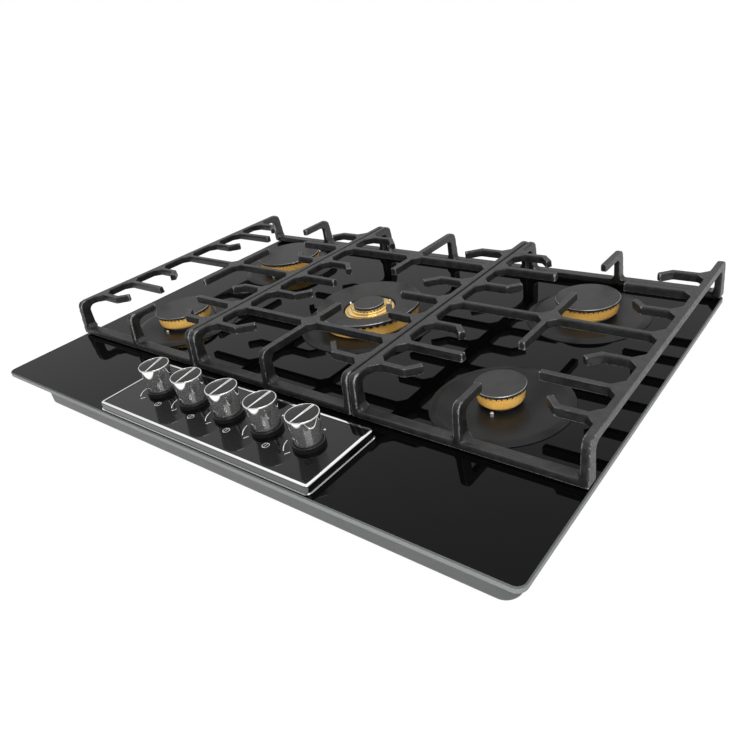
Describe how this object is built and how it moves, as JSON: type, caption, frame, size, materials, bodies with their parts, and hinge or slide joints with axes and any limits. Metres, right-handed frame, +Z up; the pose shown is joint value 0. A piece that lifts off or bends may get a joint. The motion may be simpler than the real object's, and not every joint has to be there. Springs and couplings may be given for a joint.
{
  "type": "gas cooktop",
  "caption": "Built-in gas cooktop with a black glass top, cast iron pan grates, brass burner heads and a control panel of chrome knobs at the front.",
  "frame": {"origin": "centre of the bottom tray's underside", "axes": "+X along the front edge to the right, +Y towards the back, +Z up"},
  "size_m": [0.762, 0.52, 0.105],
  "materials": {
    "glass_black": "polished black tempered glass, opaque",
    "tray_enamel": "satin dark coat on pressed steel",
    "rubber_black": "matt black",
    "panel_gloss": "gloss black",
    "chrome_trim": "polished",
    "knob_chrome": "polished with a black inset face",
    "plastic_black": "fine matt",
    "zinc_steel": "zinc plated",
    "valve_aluminium": "die cast",
    "tube_aluminium": "drawn tube",
    "cup_aluminium": "die cast, matt",
    "brass": "turned, satin",
    "plate_enamel": "satin black enamel",
    "cap_enamel": "matt black enamel",
    "electrode_ceramic": "white ceramic with a steel tip",
    "thermo_steel": "bright",
    "cast_iron": "matt black enamel over cast iron"
  },
  "bodies": {
    "root": {"glass_top": "glass_black", "bottom_tray": "tray_enamel", "tray_gasket": "rubber_black", "counter_seal": "rubber_black", "control_panel": "panel_gloss", "panel_trim": "chrome_trim", "knob_bezels": "plastic_black", "valve_bodies": "valve_aluminium", "gas_rail": "zinc_steel", "gas_inlet": "brass", "supply_tubes": "tube_aluminium", "injectors": "brass", "ignition_electrodes": "electrode_ceramic", "thermocouples": "thermo_steel", "burner_brackets": "zinc_steel", "ignition_module": "plastic_black", "clamp_brackets": "zinc_steel", "clamp_screws": "zinc_steel", "burner_cup_left_front": "cup_aluminium", "burner_plate_left_front": "plate_enamel", "burner_cup_left_rear": "cup_aluminium", "burner_plate_left_rear": "plate_enamel", "burner_cup_middle": "cup_aluminium", "burner_plate_middle": "plate_enamel", "burner_cup_right_rear": "cup_aluminium", "burner_plate_right_rear": "plate_enamel", "burner_cup_right_front": "cup_aluminium", "burner_plate_right_front": "plate_enamel"},
    "tap_left_front": {"tap_plug_left_front": "brass"},
    "knob_left_front": {"knob_left_front": "knob_chrome", "stem_left_front": "zinc_steel"},
    "tap_left_rear": {"tap_plug_left_rear": "brass"},
    "knob_left_rear": {"knob_left_rear": "knob_chrome", "stem_left_rear": "zinc_steel"},
    "tap_middle": {"tap_plug_middle": "brass"},
    "knob_middle": {"knob_middle": "knob_chrome", "stem_middle": "zinc_steel"},
    "tap_right_rear": {"tap_plug_right_rear": "brass"},
    "knob_right_rear": {"knob_right_rear": "knob_chrome", "stem_right_rear": "zinc_steel"},
    "tap_right_front": {"tap_plug_right_front": "brass"},
    "knob_right_front": {"knob_right_front": "knob_chrome", "stem_right_front": "zinc_steel"},
    "head_left_front": {"burner_head_left_front": "brass"},
    "cap_left_front": {"burner_cap_left_front": "cap_enamel"},
    "head_left_rear": {"burner_head_left_rear": "brass"},
    "cap_left_rear": {"burner_cap_left_rear": "cap_enamel"},
    "head_middle": {"burner_head_middle": "brass"},
    "cap_middle": {"burner_cap_middle": "cap_enamel"},
    "head_right_rear": {"burner_head_right_rear": "brass"},
    "cap_right_rear": {"burner_cap_right_rear": "cap_enamel"},
    "head_right_front": {"burner_head_right_front": "brass"},
    "cap_right_front": {"burner_cap_right_front": "cap_enamel"},
    "ring_cap_middle": {"burner_ring_cap_middle": "cap_enamel"},
    "grate_left": {"grate_left": "cast_iron", "grate_feet_left": "rubber_black"},
    "grate_middle": {"grate_middle": "cast_iron", "grate_feet_middle": "rubber_black"},
    "grate_right": {"grate_right": "cast_iron", "grate_feet_right": "rubber_black"}
  },
  "joints": [
    {"name": "turn_left_front", "type": "hinge", "parent": "root", "child": "tap_left_front", "pos_m": [-0.1058, -0.206, 0.024], "axis": [0, 0, 1], "range_deg": [0, 210]},
    {"name": "push_left_front", "type": "slide", "parent": "tap_left_front", "child": "knob_left_front", "axis": [0, 0, -1], "range_m": [0, 0.0035], "stiffness_N_per_m": 900, "springref_m": -0.003},
    {"name": "turn_left_rear", "type": "hinge", "parent": "root", "child": "tap_left_rear", "pos_m": [-0.0475, -0.206, 0.024], "axis": [0, 0, 1], "range_deg": [0, 210]},
    {"name": "push_left_rear", "type": "slide", "parent": "tap_left_rear", "child": "knob_left_rear", "axis": [0, 0, -1], "range_m": [0, 0.0035], "stiffness_N_per_m": 900, "springref_m": -0.003},
    {"name": "turn_middle", "type": "hinge", "parent": "root", "child": "tap_middle", "pos_m": [0.0108, -0.206, 0.024], "axis": [0, 0, 1], "range_deg": [0, 210]},
    {"name": "push_middle", "type": "slide", "parent": "tap_middle", "child": "knob_middle", "axis": [0, 0, -1], "range_m": [0, 0.0035], "stiffness_N_per_m": 900, "springref_m": -0.003},
    {"name": "turn_right_rear", "type": "hinge", "parent": "root", "child": "tap_right_rear", "pos_m": [0.0691, -0.206, 0.024], "axis": [0, 0, 1], "range_deg": [0, 210]},
    {"name": "push_right_rear", "type": "slide", "parent": "tap_right_rear", "child": "knob_right_rear", "axis": [0, 0, -1], "range_m": [0, 0.0035], "stiffness_N_per_m": 900, "springref_m": -0.003},
    {"name": "turn_right_front", "type": "hinge", "parent": "root", "child": "tap_right_front", "pos_m": [0.1274, -0.206, 0.024], "axis": [0, 0, 1], "range_deg": [0, 210]},
    {"name": "push_right_front", "type": "slide", "parent": "tap_right_front", "child": "knob_right_front", "axis": [0, 0, -1], "range_m": [0, 0.0035], "stiffness_N_per_m": 900, "springref_m": -0.003},
    {"name": "lift_head_left_front", "type": "slide", "parent": "root", "child": "head_left_front", "axis": [0, 0, 1], "range_m": [0, 0.006]},
    {"name": "lift_cap_left_front", "type": "slide", "parent": "head_left_front", "child": "cap_left_front", "axis": [0, 0, 1], "range_m": [0, 0.005]},
    {"name": "lift_head_left_rear", "type": "slide", "parent": "root", "child": "head_left_rear", "axis": [0, 0, 1], "range_m": [0, 0.006]},
    {"name": "lift_cap_left_rear", "type": "slide", "parent": "head_left_rear", "child": "cap_left_rear", "axis": [0, 0, 1], "range_m": [0, 0.005]},
    {"name": "lift_head_middle", "type": "slide", "parent": "root", "child": "head_middle", "axis": [0, 0, 1], "range_m": [0, 0.006]},
    {"name": "lift_cap_middle", "type": "slide", "parent": "head_middle", "child": "cap_middle", "axis": [0, 0, 1], "range_m": [0, 0.005]},
    {"name": "lift_head_right_rear", "type": "slide", "parent": "root", "child": "head_right_rear", "axis": [0, 0, 1], "range_m": [0, 0.006]},
    {"name": "lift_cap_right_rear", "type": "slide", "parent": "head_right_rear", "child": "cap_right_rear", "axis": [0, 0, 1], "range_m": [0, 0.005]},
    {"name": "lift_head_right_front", "type": "slide", "parent": "root", "child": "head_right_front", "axis": [0, 0, 1], "range_m": [0, 0.006]},
    {"name": "lift_cap_right_front", "type": "slide", "parent": "head_right_front", "child": "cap_right_front", "axis": [0, 0, 1], "range_m": [0, 0.005]},
    {"name": "lift_ring_cap_middle", "type": "slide", "parent": "head_middle", "child": "ring_cap_middle", "axis": [0, 0, 1], "range_m": [0, 0.005]},
    {"name": "lift_grate_left", "type": "slide", "parent": "root", "child": "grate_left", "axis": [0, 0, 1], "range_m": [0, 0.08]},
    {"name": "lift_grate_middle", "type": "slide", "parent": "root", "child": "grate_middle", "axis": [0, 0, 1], "range_m": [0, 0.08]},
    {"name": "lift_grate_right", "type": "slide", "parent": "root", "child": "grate_right", "axis": [0, 0, 1], "range_m": [0, 0.08]}
  ]
}
